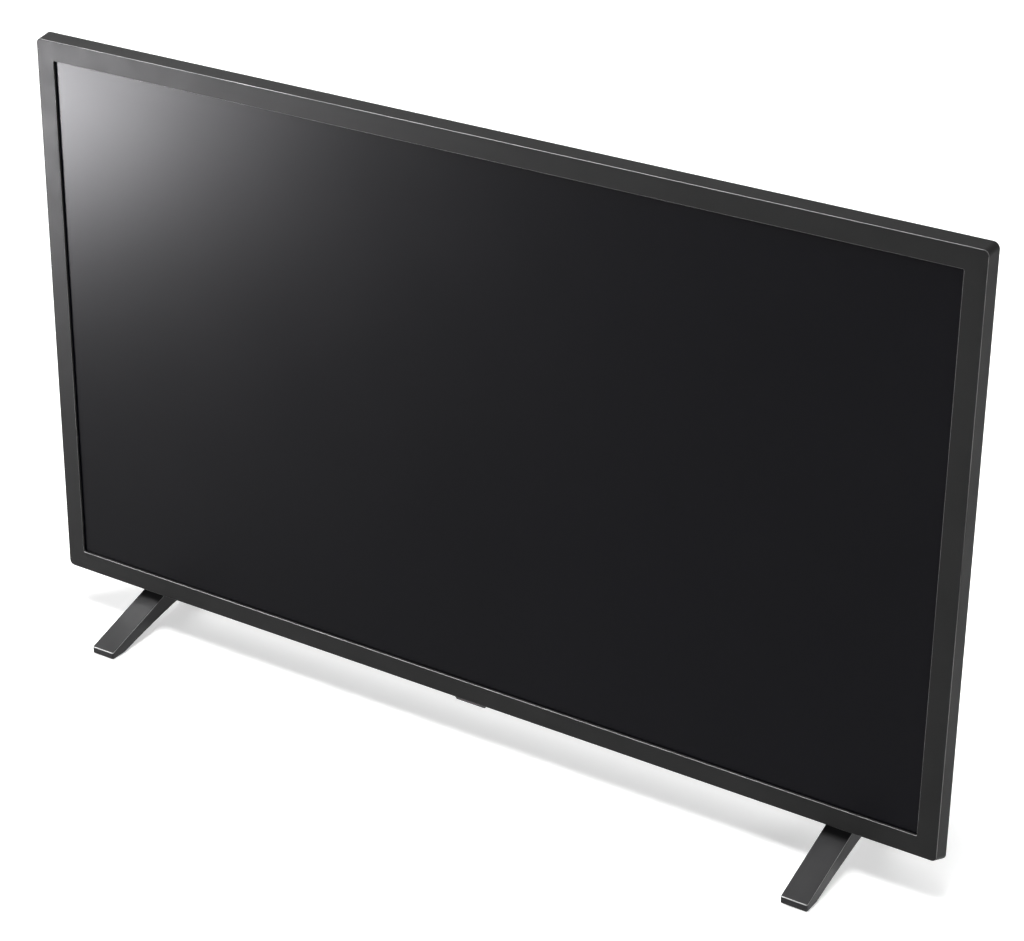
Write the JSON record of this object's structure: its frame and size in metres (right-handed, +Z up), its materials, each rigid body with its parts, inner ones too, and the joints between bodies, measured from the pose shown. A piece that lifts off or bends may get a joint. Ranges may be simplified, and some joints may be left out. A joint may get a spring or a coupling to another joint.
{
  "type": "flat screen television",
  "caption": "Flat screen television with a slim dark frame, a recessed picture panel, a deeper rear cover with socket bays and two bar feet.",
  "frame": {"origin": "on the surface that the feet stand on, under the middle of the whole outline", "axes": "+Z up, the screen faces -Y, +X to the right of a viewer of the screen"},
  "size_m": [0.736, 0.18, 0.4625],
  "materials": {
    "frame_plastic": "matte",
    "cover_plastic": "matte",
    "foot_plastic": "matte",
    "inner_black_plastic": "matte",
    "gloss_black": "gloss",
    "button_plastic": "satin",
    "window_red": "gloss",
    "screen_glass": "gloss",
    "black_foam": "matte",
    "black_rubber": "matte",
    "white_film": "satin",
    "clear_plastic": "gloss",
    "lamp_white": "satin",
    "bar_aluminium": "satin",
    "sink_aluminium": "satin",
    "tray_steel": "satin",
    "socket_steel": "satin",
    "screw_steel": "satin",
    "screw_black": "satin",
    "brass_parts": "satin",
    "circuit_green": "satin",
    "circuit_tan": "satin",
    "film_amber": "gloss",
    "chip_black": "matte",
    "socket_black": "satin",
    "winding_yellow": "gloss",
    "capacitor_black": "gloss",
    "cone_paper": "matte",
    "plug_white": "satin",
    "lead_black": "satin",
    "ribbon_white": "satin"
  },
  "bodies": {
    "cabinet": {"front_bezel": "frame_plastic", "panel_gasket": "black_foam", "lcd_cell": "screen_glass", "middle_frame": "inner_black_plastic", "diffuser_sheet": "white_film", "prism_sheet": "white_film", "diffuser_plate": "white_film", "reflector_sheet": "white_film", "light_bars": "bar_aluminium", "lamps": "lamp_white", "lamp_lenses": "clear_plastic", "plate_supports": "white_film", "rear_chassis": "tray_steel", "source_boards": "circuit_green", "source_films": "film_amber", "board_standoffs": "brass_parts", "main_board": "circuit_green", "power_board": "circuit_tan", "board_screws": "screw_steel", "board_chips": "chip_black", "chip_heat_sink": "sink_aluminium", "board_coils": "chip_black", "video_sockets": "socket_steel", "data_sockets": "socket_steel", "network_socket": "socket_black", "optical_socket": "socket_black", "audio_socket": "socket_black", "aerial_socket": "socket_steel", "mains_inlet": "socket_black", "inlet_pins": "brass_parts", "transformer_winding": "winding_yellow", "transformer_core": "chip_black", "storage_capacitors": "capacitor_black", "power_heat_sink": "sink_aluminium", "speaker_boxes": "inner_black_plastic", "speaker_drivers": "socket_steel", "speaker_cones": "cone_paper", "speaker_grommets": "black_rubber", "sensor_housing": "gloss_black", "sensor_window": "window_red", "sensor_board": "circuit_green", "infrared_receiver": "chip_black", "joystick_switch": "socket_steel", "wall_mount_pillars": "brass_parts", "rear_cover": "cover_plastic", "cover_screws": "screw_black", "foot_brackets": "tray_steel", "foot_left": "foot_plastic", "foot_right": "foot_plastic", "foot_pads": "black_rubber", "foot_screws": "screw_black", "board_plugs": "plug_white", "power_lead": "lead_black", "lamp_lead": "lead_black", "speaker_leads": "lead_black", "sensor_lead": "lead_black", "panel_ribbon": "ribbon_white"},
    "press_post": {"joystick_post": "button_plastic"},
    "tilt_cross": {"joystick_cross": "button_plastic"},
    "button": {"joystick_button": "button_plastic"}
  },
  "joints": [
    {"name": "button_press", "type": "slide", "parent": "cabinet", "child": "press_post", "axis": [0, 0, 1], "range_m": [0, 0.0006], "stiffness_N_per_m": 900},
    {"name": "button_tilt_back", "type": "hinge", "parent": "press_post", "child": "tilt_cross", "pos_m": [0, -0.01875, 0.0344], "axis": [1, 0, 0], "range_deg": [-6, 6], "stiffness_Nm_per_rad": 0.02},
    {"name": "button_tilt_side", "type": "hinge", "parent": "tilt_cross", "child": "button", "pos_m": [0, -0.01875, 0.0344], "axis": [0, 1, 0], "range_deg": [-6, 6], "stiffness_Nm_per_rad": 0.02}
  ]
}
